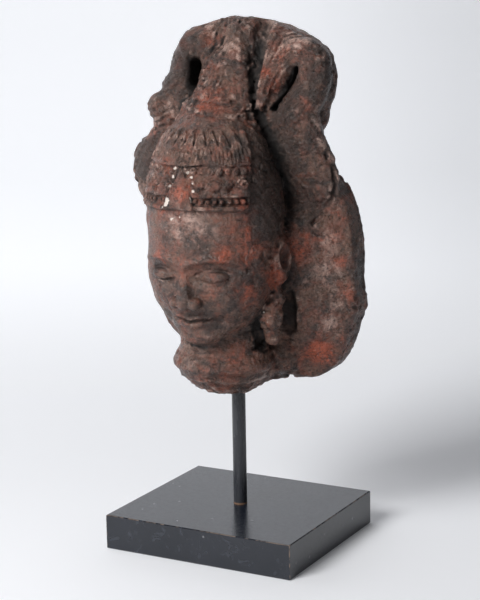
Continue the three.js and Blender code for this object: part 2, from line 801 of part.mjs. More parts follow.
function plinthGeometry() {
  const halfX = PLINTH_WIDTH / 2 - PLINTH_EDGE;
  const halfY = PLINTH_DEPTH / 2 - PLINTH_EDGE;
  const outline = new THREE.Shape();
  outline.moveTo(-halfX, -halfY);
  outline.lineTo(halfX, -halfY);
  outline.lineTo(halfX, halfY);
  outline.lineTo(-halfX, halfY);
  outline.closePath();
  const block = new THREE.ExtrudeGeometry(outline, {
    depth: PLINTH_HEIGHT - 2 * PLINTH_EDGE,
    bevelSize: PLINTH_EDGE,
    bevelThickness: PLINTH_EDGE,
    bevelSegments: 1,
  });
  block.translate(0, 0, PLINTH_EDGE);
  const socket = uprightBar(SOCKET_RADIUS, ROD_BOTTOM_Z - FIT_GAP, PLINTH_HEIGHT + ROD_DIAMETER);
  return toGeometry(toSolid(block).subtract(toSolid(socket)));
}

function rodGeometry() {
  const profile = [
    [0, ROD_BOTTOM_Z],
    [ROD_RADIUS - ROD_EDGE, ROD_BOTTOM_Z],
    [ROD_RADIUS, ROD_BOTTOM_Z + ROD_EDGE],
    [ROD_RADIUS, ROD_TOP_Z - ROD_EDGE],
    [ROD_RADIUS - ROD_EDGE, ROD_TOP_Z],
    [0, ROD_TOP_Z],
  ];
  const geometry = new THREE.LatheGeometry(
    profile.map(([radius, z]) => new THREE.Vector2(radius, z)),
    ROUND_SIDES,
  );
  geometry.rotateX(Math.PI / 2);
  return geometry;
}

const stone = new THREE.MeshStandardMaterial({ color: "#5a3b33", roughness: 0.62, metalness: 0 });
const steel = new THREE.MeshStandardMaterial({ color: "#17181b", roughness: 0.42, metalness: 0.5 });
const blackened = new THREE.MeshStandardMaterial({ color: "#1b1c20", roughness: 0.45, metalness: 0.4 });

function piece(name, geometry, material) {
  const mesh = new THREE.Mesh(geometry, material);
  mesh.name = name;
  return mesh;
}

const statue = new THREE.Group();
statue.add(piece("carved_head", carvedHeadGeometry(), stone));
statue.add(piece("support_rod", rodGeometry(), steel));
statue.add(piece("display_plinth", plinthGeometry(), blackened));

export default statue;
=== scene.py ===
import math

import bpy
import numpy as np
from mathutils import Matrix, Vector


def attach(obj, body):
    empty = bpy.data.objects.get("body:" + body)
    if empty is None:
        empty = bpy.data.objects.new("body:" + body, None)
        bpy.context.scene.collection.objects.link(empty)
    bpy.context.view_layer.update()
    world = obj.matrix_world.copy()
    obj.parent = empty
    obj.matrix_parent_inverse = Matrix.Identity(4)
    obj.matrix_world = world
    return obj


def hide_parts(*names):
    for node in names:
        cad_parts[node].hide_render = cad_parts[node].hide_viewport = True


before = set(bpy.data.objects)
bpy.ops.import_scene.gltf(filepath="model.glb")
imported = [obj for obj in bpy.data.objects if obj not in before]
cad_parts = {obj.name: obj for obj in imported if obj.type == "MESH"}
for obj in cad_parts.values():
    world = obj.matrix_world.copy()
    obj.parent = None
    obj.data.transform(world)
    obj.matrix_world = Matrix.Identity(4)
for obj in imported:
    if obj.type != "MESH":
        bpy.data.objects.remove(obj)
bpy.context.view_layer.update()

MM = 0.001

# The carving is worked out in millimetres in the frame's own axes, as a distance field.
# A point set p is a list of three arrays, x, y and z.


def smooth_min(a, b, k):
    """The union of two fields, blended over a width of k."""
    h = np.clip(0.5 + 0.5 * (b - a) / k, 0, 1)
    return b + (a - b) * h - k * h * (1 - h)


def smooth_max(a, b, k):
    """The overlap of two fields, blended the same way."""
    return -smooth_min(-a, -b, k)


def smooth_step(low, high, value):
    t = np.clip((value - low) / (high - low), 0, 1)
    return t * t * (3 - 2 * t)


def bell(value, centre, width):
    return np.exp(-(((value - centre) / width) ** 2))


def band(z, low, high, soft=0.7):
    """1 from low to high and 0 outside, with soft ends."""
    return smooth_step(low - soft, low + soft, z) * (1 - smooth_step(high - soft, high + soft, z))


def repeat(value, pitch):
    """The distance to the nearest whole multiple of the pitch, with its sign."""
    return value - pitch * np.round(value / pitch)


def ellipsoid(p, centre, radii):
    q = [(p[i] - centre[i]) / radii[i] for i in range(3)]
    k0 = np.sqrt(q[0] ** 2 + q[1] ** 2 + q[2] ** 2)
    k1 = np.sqrt((q[0] / radii[0]) ** 2 + (q[1] / radii[1]) ** 2 + (q[2] / radii[2]) ** 2)
    return k0 * (k0 - 1) / np.maximum(k1, 1e-6)


def bar(p, a, b, ra, rb):
    """A round bar from a to b, with its own radius at each end."""
    run = [b[i] - a[i] for i in range(3)]
    length2 = sum(v * v for v in run)
    t = np.clip(sum((p[i] - a[i]) * run[i] for i in range(3)) / length2, 0, 1)
    off2 = sum((p[i] - a[i] - run[i] * t) ** 2 for i in range(3))
    return np.sqrt(off2) - (ra + (rb - ra) * t)


def flat_bar(p, a, b, ra, rb, squeeze):
    """The same bar, made flatter along Y."""
    q = [p[0], p[1] * squeeze, p[2]]
    start = (a[0], a[1] * squeeze, a[2])
    end = (b[0], b[1] * squeeze, b[2])
    return bar(q, start, end, ra, rb) / math.sqrt(squeeze)


def ring(p, centre, rx, rz, tube):
    """An oval ring that faces along Y."""
    ux = (p[0] - centre[0]) / rx
    uz = (p[2] - centre[2]) / rz
    k0 = np.sqrt(ux * ux + uz * uz)
    k1 = np.sqrt((ux / rx) ** 2 + (uz / rz) ** 2)
    flat = k0 * (k0 - 1) / np.maximum(k1, 1e-6)
    return np.sqrt(flat ** 2 + (p[1] - centre[1]) ** 2) - tube


def oval(x, z, centre, radii, power):
    """A squarish oval in the X-Z plane."""
    ux = (np.abs(x - centre[0]) / radii[0]) ** power
    uz = (np.abs(z - centre[1]) / radii[1]) ** power
    total = ux + uz + 1e-9
    return (total ** (1 / power) - 1) * ((radii[0] * ux + radii[1] * uz) / total)


def unevenness(p, size, seed):
    """A slow uneven swell, as a hand-cut surface has."""
    f = 2 * math.pi / size
    x, y, z = (v * f for v in p)
    ax = np.sin(x * 0.81 + 1.3 * np.sin(z * 0.53 + seed) + seed)
    ay = np.sin(y * 0.77 + 1.1 * np.sin(x * 0.61) + 2.1 * seed)
    bz = np.sin(z * 0.93 + 1.2 * np.sin(y * 0.47 + 1.7) + 0.7 * seed)
    bx = np.sin(x * 0.59 - z * 0.37 + 3.1 + seed)
    return 0.6 * ax * ay + 0.6 * bz * bx


class Grain:
    """Repeatable random values that vary smoothly over a chosen distance."""

    CELLS = 32

    def __init__(self, seed):
        shape = (self.CELLS,) * 3
        self.table = np.random.default_rng(seed).uniform(-1, 1, shape).astype(np.float32)

    def __call__(self, p, size):
        cell, part = [], []
        for axis in p:
            scaled = axis / size
            whole = np.floor(scaled)
            t = scaled - whole
            cell.append(whole.astype(np.int64))
            part.append(t * t * (3 - 2 * t))
        total = 0.0
        for corner in range(8):
            step = (corner & 1, corner >> 1 & 1, corner >> 2 & 1)
            index = tuple((cell[i] + step[i]) % self.CELLS for i in range(3))
            weight = 1.0
            for i in range(3):
                weight = weight * (part[i] if step[i] else 1 - part[i])
            total = total + self.table[index] * weight
        return total


# The face is a calm one on even thirds, in a frame of its own that leans forward a little
FACE_LEAN = math.radians(8)
FACE_CENTRE = (0, -38, 272)
FACE_THIRD = 40
EYE_X = 24
CHIN_Z = -68
NOSE_Z = CHIN_Z + FACE_THIRD
BROW_Z = NOSE_Z + FACE_THIRD
EYE_Z = BROW_Z - FACE_THIRD / 3
MOUTH_Z = NOSE_Z - FACE_THIRD / 3


def to_face(p):
    """The points in the face's own leaning frame."""
    dy = p[1] - FACE_CENTRE[1]
    dz = p[2] - FACE_CENTRE[2]
    c, s = math.cos(FACE_LEAN), math.sin(FACE_LEAN)
    return [p[0] - FACE_CENTRE[0], dy * c + dz * s, dz * c - dy * s]


def face(p):
    x, y, z = to_face(p)
    side = np.abs(x)
    half = [side, y, z]
    d = smooth_min(
        ellipsoid(half, (0, 3, 18), (61, 58, 66)),
        ellipsoid(half, (0, -8, -22), (54, 45, 46)),
        24,
    )
    front = smooth_step(-12, -30, y)
    off_eye = (side - EYE_X) / 20
    brow_line = BROW_Z + 3.5 - 4.5 * off_eye ** 2
    relief = 2.4 * bell(z, brow_line, 2.8) * (1 - smooth_step(44, 54, side))
    relief -= 4.6 * bell(side, EYE_X - 1, 14) * bell(z, EYE_Z + 3.5, 8.5)
    relief += 1.8 * bell(side, 32, 14) * bell(z, NOSE_Z + 10, 14)
    lip = np.maximum(1 - (side / 23.5) ** 2, 0)
    parting = MOUTH_Z - 0.8 * np.cos(side * 0.33) + 1.6 * (side / 19) ** 2
    relief += lip ** 0.6 * 3.6 * bell(z, parting + 3.3 - 0.04 * side, 2.8)
    relief += lip * 4.8 * bell(z, parting - 4.1, 3.6)
    relief -= lip ** 0.6 * 3.0 * bell(z, parting, 1.3)
    relief -= 1.6 * bell(z, MOUTH_Z - 11.5, 3.2) * bell(side, 0, 12)
    relief -= 0.7 * bell(side, 0, 1.8) * bell(z, MOUTH_Z + 9, 3.0)
    relief -= 1.2 * bell(side, 24.5, 3.5) * bell(z, MOUTH_Z + 1, 5)
    d = d - relief * front

    d = smooth_min(d, ellipsoid(half, (0, -37, CHIN_Z + 13), (20, 13, 13)), 14)
    d = smooth_min(d, ellipsoid(half, (EYE_X, -42.5, EYE_Z - 0.5), (14.5, 12.6, 8)), 1.4)
    across_eye = np.abs(side - EYE_X)
    lower_lid = EYE_Z - 3.4 + 2.4 * ((side - EYE_X) / 13) ** 2
    d = d + 1.9 * bell(z, lower_lid, 1.0) * (1 - smooth_step(12, 16, across_eye)) * front
    upper_lid = EYE_Z + 7.0 - 3.2 * ((side - EYE_X) / 13) ** 2
    d = d + 1.5 * bell(z, upper_lid, 1.0) * (1 - smooth_step(12, 17, across_eye)) * front
    d = smooth_min(d, bar(half, (0, -50.5, BROW_Z - 1), (0, -60.5, NOSE_Z + 6.5), 4.2, 7), 4.5)
    d = smooth_min(d, ellipsoid(half, (9.5, -57, NOSE_Z + 5), (6.4, 8, 5.6)), 1.6)
    return smooth_max(d, -ellipsoid(half, (6, -61.5, NOSE_Z - 0.5), (3.2, 3.6, 3.2)), 1)


def ears(p):
    s = [np.abs(p[0]), p[1], p[2]]
    shell = ellipsoid(s, (60, -27, 274), (8, 13, 21))
    bowl = ellipsoid(s, (68, -31, 277), (6, 8, 13))
    lobe = bar(s, (59, -29, 260), (56, -34, 248), 6, 5)
    return smooth_min(smooth_max(shell, -bowl, 2), lobe, 3)


# Each ear carries a pendant; the left one is worn and lies nearer the slab
RIGHT_PENDANT = (54, -36)
LEFT_PENDANT = (-50, -16)


def pendants(p):
    right = p[0] > 0
    x = np.where(right, p[0] - RIGHT_PENDANT[0], LEFT_PENDANT[0] - p[0])
    y = p[1] - np.where(right, RIGHT_PENDANT[1], LEFT_PENDANT[1])
    s = [x, y, p[2]]
    d = ellipsoid(s, (0, -1, 226), (11.5, 11, 16))
    d = smooth_min(d, ellipsoid(s, (-6, -5, 238), (6.5, 7, 8.5)), 1.5)
    d = smooth_min(d, ellipsoid(s, (5, 3, 240), (7, 7.5, 9.5)), 1.5)
    d = smooth_min(d, bar(s, (0, 0, 218), (-1, 4, 203), 8, 6.5), 2)
    turn = np.arctan2(x, 6 - y)
    flutes = 0.9 * np.cos(turn * 9.0) * bell(p[2], 221, 7)
    scales = 0.7 * np.cos(turn * 7.0 + 1.5) * np.cos(p[2] * 2 * math.pi / 9) * bell(p[2], 238, 9)
    return d + flutes + scales + 1.0 * bell(p[2], 230.5, 1.3) + 0.9 * bell(p[2], 212, 1.2)


def pendant_cuts(p):
    """The deep cuts each side of a pendant."""
    s = [np.abs(p[0]), p[1], p[2]]
    outer = bar(s, (62, -16, 237), (59, -13, 208), 5.6, 7)
    inner = bar(s, (41, -34, 226), (41, -28, 200), 6, 8)
    return np.minimum(outer, inner)


# The headdress is a tall dome with a banded diadem round its front
DOME = (0, -35, 307)
DOME_RADII = (62, 61, 100)
DOME_GIRTH = 61
RIM_Z = 323
BEAD_Z = 330.5
FLOWER_Z = 344
PANEL_TOP_Z = 362
PLEAT_Z = 363
LEAF_Z = 375
CROWN_Z = 391
DIADEM_REACH = 66
BEAD_PITCH = 6.2
FLOWER_PITCH = 25
PLEAT_PITCH = 4.3
LEAF_PITCH = 14
LEAF_MIDDLE, LEAF_HALF, LEAF_TOP = -3, 16, 361
ARCH_MIDDLE = 31
BUD_PITCH = 8.3
BUD_Z = 356


def diadem_place(p):
    """How far round the dome a point is, in millimetres, and how far in from the diadem's ends."""
    along = np.arctan2(p[0] - DOME[0], DOME[1] - p[1]) * DOME_GIRTH
    reach = DIADEM_REACH + (p[2] - PANEL_TOP_Z + 12) * 0.25 + np.where(p[0] < 0, 15, 0)
    return along, 1 - smooth_step(reach - 1.5, reach + 1.5, np.abs(along))


def front_leaf(along, z):
    """The plain leaf in the middle of the diadem, and the cut line round it."""
    taper = np.clip((LEAF_TOP - z) / (LEAF_TOP - RIM_Z), 0, 1)
    half = LEAF_HALF * taper ** 0.85
    side = np.abs(along - LEAF_MIDDLE)
    leaf = (1 - smooth_step(half - 1, half + 0.6, side)) * (1 - smooth_step(358, 362, z))
    edge = bell(side, half + 0.4, 1.1) * band(z, RIM_Z - 1, LEAF_TOP)
    return leaf, edge


def diadem_relief(p):
    """How far the diadem's tiers stand off the dome, from the rim up to the leaf points."""
    along, inside = diadem_place(p)
    along = along + 1.1 * unevenness(p, 30, 0.9)
    z = p[2] + 0.9 * unevenness(p, 38, 2.6)
    rise = 2.4 * band(z, RIM_Z, CROWN_Z, 1.2)
    rise = rise + 1.0 * band(z, RIM_Z, RIM_Z + 3.6)
    rise = rise - 1.3 * band(z, BEAD_Z - 3.4, BEAD_Z + 3.2)
    rise = rise + 0.8 * band(z, BEAD_Z + 3.4, BEAD_Z + 5.6)
    rise = rise - 1.4 * band(z, BEAD_Z + 6, PANEL_TOP_Z - 2)
    bead = np.sqrt((repeat(along, BEAD_PITCH) / 1.2) ** 2 + (z - BEAD_Z) ** 2)
    rise = rise + 1.9 * (1 - smooth_step(1.2, 2.6, bead))
    drilled = np.sqrt(repeat(along + BEAD_PITCH / 2, BEAD_PITCH) ** 2 + (z - BEAD_Z) ** 2)
    rise = rise - 1.5 * bell(drilled, 0, 1.3)

    u = np.abs(repeat(along - ARCH_MIDDLE, FLOWER_PITCH))
    arch = FLOWER_Z - 7 + 14 * (1 - (u / 12) ** 2)
    low_tier = band(z, BEAD_Z + 6, FLOWER_Z + 8)
    rise = rise + (1.9 * (1 - smooth_step(-1.2, 0.4, z - arch)) - 1.3 * bell(z, arch - 2.6, 0.8)) * low_tier
    middle = np.sqrt(u * u + (z - FLOWER_Z) ** 2)
    petals = 4.4 + 0.7 * np.cos(6 * np.arctan2(z - FLOWER_Z, u + 1e-6))
    rise = rise + 1.6 * (1 - smooth_step(petals - 1, petals + 0.5, middle)) - 1.5 * bell(middle, 0, 1.2)
    between = np.sqrt((u - FLOWER_PITCH / 2) ** 2 + (z - FLOWER_Z - 1.5) ** 2)
    rise = rise + 1.8 * (1 - smooth_step(2.6, 4, between)) - 1.2 * bell(between, 0, 1.1)
    bud = np.sqrt(repeat(along - 2, BUD_PITCH) ** 2 + (z - BUD_Z) ** 2)
    rise = rise + 1.8 * (1 - smooth_step(2.2, 3.6, bud)) - 1.4 * bell(bud, 0, 1.0)
    rise = rise + 0.5 * band(z, PANEL_TOP_Z - 1.6, PANEL_TOP_Z + 0.6)

    pleat = np.abs(np.cos(math.pi * along / PLEAT_PITCH)) ** 0.8
    rise = rise + band(z, PLEAT_Z + 0.6, LEAF_Z - 1.2) * (1.5 * pleat - 1.2)
    lean = np.abs(repeat(along, LEAF_PITCH))
    tip = LEAF_Z + 15 * (1 - (lean / (LEAF_PITCH / 2)) ** 1.8)
    leafy = band(z, LEAF_Z, CROWN_Z, 1.2)
    rise = rise + leafy * (2.6 * (1 - smooth_step(tip - 1.6, tip + 0.9, z)) - 2.4)
    rise = rise - 1.0 * leafy * bell(lean, 1.8, 0.6) * (1 - smooth_step(tip - 6, tip - 3, z))

    leaf, edge = front_leaf(along, z)
    rise = rise * (1 - leaf) + 3.4 * leaf * smooth_step(RIM_Z - 1.4, RIM_Z + 0.6, z) - 2 * edge
    kept = 0.95 + 0.35 * unevenness(p, 19, 1.2)
    return 1.15 * rise * inside * np.clip(kept, 0.55, 1.1)


def headdress(p):
    x, y, z = p
    wide = [(x + 5) / 1.4, y, z]
    crown = bar(wide, (3, -32, 362), (0, -15, 402), 35, 26)
    crown = smooth_max(crown, z - 0.05 * x - 413, 6)
    d = smooth_min(ellipsoid(p, DOME, DOME_RADII), crown, 10) - diadem_relief(p)
    front = smooth_step(8, -4, y)
    level = z + 0.14 * x
    crossed = np.cos(2 * math.pi * (x + 0.6 * z) / 6) * np.cos(2 * math.pi * (x - z) / 7)
    carved = band(level, 402, 411, 1) * crossed
    return d + (0.8 * bell(level, 400.5, 0.9) - 0.5 * carved) * front


# The flaring back slab, thick beside the head and thin at its edge
BACK_Y = 52
SLAB_FRONT_Y = 16
SLAB_SWELL = 46


def slab(p):
    x, y, z = p
    right = oval(x, z, (46, 256), (64, 96), 2.8) - 4 * bell(z, 226, 15) * smooth_step(60, 90, x)
    low_right = oval(x, z, (60, 198), (34, 41), 2.4)
    left = oval(x, z, (-36, 262), (62, 88), 2.6)
    waist = oval(x, z, (-4, 360), (76, 70), 2.6)
    outline = smooth_min(smooth_min(smooth_min(right, low_right, 8), left, 14), waist, 14)
    inward = np.clip(-outline / 70, 0, 1)
    front = SLAB_FRONT_Y - SLAB_SWELL * inward - y
    back = y - BACK_Y + 9.6 * (1 - inward) ** 3
    return smooth_max(outline, np.maximum(front, back), 3)


def locks(p):
    """Broad flat locks that hang each side of the dome."""
    right = flat_bar(p, (51, 1, 380), (66, 13, 339), 35, 32, 2.2)
    left = flat_bar(p, (-70, 3, 345), (-64, 8, 311), 38, 33, 2.2)
    across = np.abs(p[0]) * 0.86 + p[2] * 0.5
    strands = np.cos(2 * math.pi * across / 7 + 1.2 * unevenness(p, 50, 0))
    return np.minimum(right, left) + 0.4 * strands


# The engraved line round the lower end of the right lock
LOCK_END = ((94, 7, 354), (96, 10, 338), (93, 9, 324), (86, 4, 311), (79, -1, 303))


def lock_line(p):
    return np.minimum.reduce([bar(p, a, b, 1.6, 1.6) for a, b in zip(LOCK_END, LOCK_END[1:])])


def leaned(p, centre, degrees):
    """The points turned about a place in the X-Z plane, so that what leans there stands up."""
    c, s = math.cos(math.radians(degrees)), math.sin(math.radians(degrees))
    dx, dz = p[0] - centre[0], p[2] - centre[2]
    return [centre[0] + dx * c - dz * s, p[1], centre[2] + dx * s + dz * c]


RIGHT_SLIT = ((66, 0, 438), (47, 0, 404))
LEFT_HOLE = ((-35, 0, 440), (-36, 0, 426))


def topknot(p):
    """Two loops of hair, each with a hole through its middle, and a tress between them."""
    x, y, z = p
    y = y + 0.2 * np.clip(455 - z, 0, 60)
    q = [x, y, z]
    flat = [x, y * 0, z]
    outline = oval(x, z + 0.13 * np.maximum(x, 0), (8, 437), (78, 44), 2.4)
    mass = smooth_max(outline, np.abs(y - 29) - 22, 14)
    d = smooth_min(mass, ellipsoid(q, (2, 20, 440), (50, 24, 38)), 14)
    lean = leaned(q, (56, 12, 423), 30)
    right_loop = ring(lean, (56, 12, 423), 17, 27, 17)
    left_loop = ring(q, (-36, 8, 431), 14, 27, 15)
    d = smooth_min(d, np.minimum(right_loop, left_loop), 7)

    d = smooth_min(d, bar(p, (64, 26, 414), (67, 26, 392), 16, 14), 8)
    base = bar([(x + 4) / 1.1, p[1], z], (0, -14, 405), (0, -2, 436), 26, 20)
    d = smooth_min(d, base, 8)

    front = 1 - smooth_step(10, 28, y)
    from_slit = bar(flat, (66, 0, 438), (36, 0, 396), 0, 0)
    from_hole = bar(flat, *LEFT_HOLE, 0, 0)
    turn = np.arctan2(z - 434, x + 35)
    waver = 0.9 * unevenness(p, 30, 0.3)
    right_hair = 0.55 * np.cos(2 * math.pi * from_slit / 4.6 + 2.6 * waver + 0.8 * np.sin(z * 0.5))
    right_hair = right_hair * (1 - 0.6 * smooth_step(66, 76, x))
    radial = np.cos(turn * 16 + 2 * waver) * bell(from_hole, 17, 11)
    fall = np.cos(2 * math.pi * (x + 1.5 * np.sin(z * 0.42)) / 5.2 + 2 * waver) * smooth_step(-26, -18, x)
    left_hair = (0.9 * radial + 0.55 * fall) * smooth_step(14, 7, x)
    hair = np.where(x > 20, right_hair * smooth_step(26, 33, x), left_hair)
    d = d + hair * front * smooth_step(3, 8, np.minimum(from_slit, from_hole))

    rim = smooth_min(
        bar(p, (40, 6, 463), (37, -6, 432), 8.5, 8),
        bar(p, (37, -6, 432), (36, -15, 407), 8, 7),
        3,
    )
    d = smooth_min(d, rim + 0.5 * np.cos(2 * math.pi * (x - 0.3 * z) / 5), 4)
    tress = bar(p, (2.5, 7, 466), (14, -16, 418), 12.5, 13.5)
    middle = 2.5 + (466 - z) * 0.24
    scales = np.cos(2 * math.pi * (z + 0.6 * np.abs(x - middle)) / 7.5) * bell(x, middle, 8)
    tress = tress + 0.4 * np.cos(2 * math.pi * (x + 0.24 * z) / 5) * bell(x, middle, 10) + 0.8 * scales
    d = smooth_min(d, tress, 3)
    deep = [x, p[1] * 0.5, z]
    d = smooth_max(d, -bar(deep, (25, 5, 490), (31.5, -13, 409), 11, 2.6), 3)
    return smooth_max(d, -np.maximum(bar(flat, *LEFT_HOLE, 5.2, 6), y - 26), 6)


def right_slit(p):
    """The long narrow hole through the right loop."""
    return np.maximum(bar([p[0], p[1] * 0, p[2]], *RIGHT_SLIT, 2.0, 1.3), p[1] - 20)


def tie(p):
    """The band that ties the hair below the loops."""
    right = bar(p, (36, -6, 398), (72, 8, 388), 8, 8.5)
    left = bar(p, (-38, -6, 398), (-70, 4, 392), 9, 9.5)
    knots = np.cos(2 * math.pi * p[0] / 5.5) * np.cos(2 * math.pi * (p[2] + 0.2 * np.abs(p[0])) / 8)
    return np.minimum(right, left) + 0.6 * knots


def curls(p):
    upper = ellipsoid(p, (-59, -2, 421), (12, 12, 11))
    lower = ellipsoid(p, (-74, -2, 402), (13, 13, 12))
    d = smooth_min(upper, lower, 8)
    d = smooth_min(d, bar(p, (-66, 3, 400), (-72, 7, 378), 13, 14), 10)
    return d + 0.35 * np.cos(2 * math.pi * (p[2] - 0.35 * p[0]) / 6 + 2.8 * unevenness(p, 26, 0.8))


# The deep cut between the dome and the locks, the same on each side: places and radii
PARTING = (
    ((36, -17, 408), 2.6),
    ((42, -19, 385), 3.2),
    ((49, -20, 366), 3.6),
    ((55, -20, 346), 3.8),
    ((63, -17, 304), 3.4),
)


def partings(p):
    aside = 5 * smooth_step(350, 400, p[2])
    s = [np.abs(p[0] + aside), p[1], p[2]]
    cuts = [bar(s, a, b, ra, rb) for (a, ra), (b, rb) in zip(PARTING, PARTING[1:])]
    return np.minimum.reduce(cuts)


LIP_Z = 175


def neck(p):
    x, y, z = p
    radial = (np.sqrt((x / 41) ** 2 + ((y + 25) / 39) ** 2) - 1) * 40
    lip = 7.5 * np.where(z > LIP_Z, bell(z, LIP_Z, 13), bell(z, LIP_Z, 5))
    lines = 0.3 * np.cos(2 * math.pi * z / 5.5 + 3 * unevenness(p, 30, 0.6)) + 0.7 * unevenness(p, 26, 2.9)
    column = radial + 1.5 - lip + lines
    return smooth_max(smooth_max(column, z - 230, 4), 162 - z, 4)


FOOT_Z = 140
NOTCH = ((47, 0, 157), (45, 70, 161))


def broken_neck(p):
    """The broken underside of the neck, which climbs to the slab on the right."""
    low = ellipsoid(p, (-5, -14, 162), (40, 34, 19))
    high = ellipsoid(p, (30, 12, 176), (34, 26, 22))
    broken = smooth_min(low, high, 12)
    ledges = 1.2 * np.abs(unevenness(p, 17, 2.2)) + 0.8 * unevenness(p, 9, 0.4)
    return smooth_max(broken + ledges, FOOT_Z - p[2], 4)


def carving(p):
    head = smooth_min(face(p), headdress(p), 2)
    head = smooth_min(head, ears(p), 3)
    hair = smooth_min(topknot(p), tie(p), 5)
    hair = smooth_min(hair, curls(p), 6)
    back = smooth_min(smooth_min(slab(p), locks(p), 3), hair, 7)
    d = smooth_min(head, back, 4)
    d = smooth_min(d, neck(p), 4)
    d = smooth_min(d, broken_neck(p), 6)
    d = smooth_max(d, -pendant_cuts(p), 4)
    d = smooth_max(d, -bar(p, *NOTCH, 4, 4), 3)
    d = smooth_max(d, -partings(p), 4)
    d = smooth_max(d, -lock_line(p), 2)
    d = smooth_max(d, -right_slit(p), 2)
    d = smooth_min(d, pendants(p), 2)
    return d + 0.7 * unevenness(p, 60, 0) + 0.3 * unevenness(p, 24, 1.7)


SOCKET_RADIUS = 6.65
SOCKET_TOP = 188.3
coarse_grain = Grain(3)
middle_grain = Grain(7)
fine_grain = Grain(11)
pit_grain = Grain(19)


def roughness(p):
    """How far the worn surface stands off the carved one."""
    rough = 0.5 * coarse_grain(p, 11.0) + 0.45 * middle_grain(p, 5.2) + 0.3 * fine_grain(p, 2.7)
    pits = smooth_step(0.25, 0.6, pit_grain(p, 4.1)) * smooth_step(-0.3, 0.3, coarse_grain(p, 27.0))
    smoother = 1 - 0.6 * smooth_step(-66, -80, p[1]) * band(p[2], 210, 322, 8)
    return (rough - 1.1 * pits) * smoother


def stone(p):
    """The carved head as it stands on its rod."""
    socket = np.maximum(np.sqrt(p[0] ** 2 + p[1] ** 2) - SOCKET_RADIUS, p[2] - SOCKET_TOP)
    return np.maximum(carving(p) - roughness(p), -socket)


LOW = (-125.0, -122.0, 134.0)
HIGH = (128.0, 70.0, 496.0)
SPACING = 1.3
REFINEMENTS = 2


def sample_field(field):
    """The field on a grid, worked out in full only where the surface passes."""
    spacing = SPACING * 2 ** REFINEMENTS
    cells = [math.ceil((HIGH[i] - LOW[i]) / spacing) for i in range(3)]
    axes = [LOW[i] + np.arange(cells[i] + 1) * spacing for i in range(3)]
    mesh = np.meshgrid(*axes, indexing="ij")
    grid = field([m.ravel().astype(np.float32) for m in mesh]).reshape(mesh[0].shape)
    for _ in range(REFINEMENTS):
        reach = spacing * 0.95 + 2.5
        spacing /= 2
        cells = [c * 2 for c in cells]
        index = [(np.arange(c + 1) + 1) // 2 for c in cells]
        grid = grid[np.ix_(*index)]
        near = np.nonzero(np.abs(grid) < reach)
        grid[near] = field([(LOW[i] + near[i] * spacing).astype(np.float32) for i in range(3)])
    for axis in range(3):
        np.moveaxis(grid, axis, 0)[0] = 5
        np.moveaxis(grid, axis, 0)[-1] = 5
    return grid


def surface_nets(grid):
    """Quads of the zero surface, with one vertex in each cell that it crosses."""
    inside = grid < 0
    size = [s - 1 for s in grid.shape]
    corners = [(i, j, k) for i in (0, 1) for j in (0, 1) for k in (0, 1)]
    count = np.zeros(size, np.int8)
    for i, j, k in corners:
        count += inside[i:i + size[0], j:j + size[1], k:k + size[2]]
    cell = np.array(np.nonzero((count > 0) & (count < 8)))
    number = np.full(size, -1, np.int64)
    number[tuple(cell)] = np.arange(cell.shape[1])
    total = np.zeros((cell.shape[1], 3))
    hits = np.zeros(cell.shape[1])
    for start in corners:
        for axis in range(3):
            if start[axis]:
                continue
            end = list(start)
            end[axis] = 1
            a = grid[cell[0] + start[0], cell[1] + start[1], cell[2] + start[2]]
            b = grid[cell[0] + end[0], cell[1] + end[1], cell[2] + end[2]]
            cross = (a < 0) != (b < 0)
            point = np.tile(np.array(start, float), (len(a), 1))
            point[:, axis] = np.where(cross, a / np.where(cross, a - b, 1), 0)
            total += point * cross[:, None]
            hits += cross
    places = np.array(LOW) + (cell.T + total / hits[:, None]) * SPACING

    quads = []
    for axis in range(3):
        u, v = (axis + 1) % 3, (axis + 2) % 3
        first = tuple(slice(0, -1) if i == axis else slice(1, -1) for i in range(3))
        second = tuple(slice(1, None) if i == axis else slice(1, -1) for i in range(3))
        edge = np.array(np.nonzero(inside[first] != inside[second]))
        outward = inside[first][tuple(edge)]
        edge[u] += 1
        edge[v] += 1
        ring_cells = []
        for du, dv in ((1, 1), (0, 1), (0, 0), (1, 0)):
            corner = edge.copy()
            corner[u] -= du
            corner[v] -= dv
            ring_cells.append(number[tuple(corner)])
        quad = np.stack(ring_cells, 1)
        quad[~outward] = quad[~outward][:, ::-1]
        quads.append(quad)
    return places, np.concatenate(quads)


def slope(field, places, reach=0.3):
    """The field's gradient at each place."""
    parts = []
    for axis in range(3):
        ahead = [places[:, i] + (reach if i == axis else 0) for i in range(3)]
        behind = [places[:, i] - (reach if i == axis else 0) for i in range(3)]
        parts.append((field(ahead) - field(behind)) / (2 * reach))
    return np.stack(parts, 1)


def settle(field, places):
    """Moves each place onto the true surface."""
    gradient = slope(field, places)
    steep = np.maximum((gradient ** 2).sum(1), 0.15)
    move = -(field([places[:, i] for i in range(3)]) / steep)[:, None] * gradient
    length = np.maximum(np.sqrt((move ** 2).sum(1)), 1e-6)
    return places + move * np.minimum(1, 0.6 * SPACING / length)[:, None]


def new_object(name, mesh):
    """An object in the scene that shows the mesh."""
    made = bpy.data.objects.new(name, mesh)
    bpy.context.scene.collection.objects.link(made)
    return made


def mesh_from(name, places, faces):
    mesh = bpy.data.meshes.new(name)
    mesh.from_pydata((np.asarray(places) * MM).tolist(), [], faces.tolist())
    mesh.update()
    return mesh


def places_of(mesh):
    co = np.empty(len(mesh.vertices) * 3, np.float32)
    mesh.vertices.foreach_get("co", co)
    return co.reshape(-1, 3) / MM


def normals_of(mesh):
    no = np.empty(len(mesh.vertices) * 3, np.float32)
    mesh.vertex_normals.foreach_get("vector", no)
    return no.reshape(-1, 3)


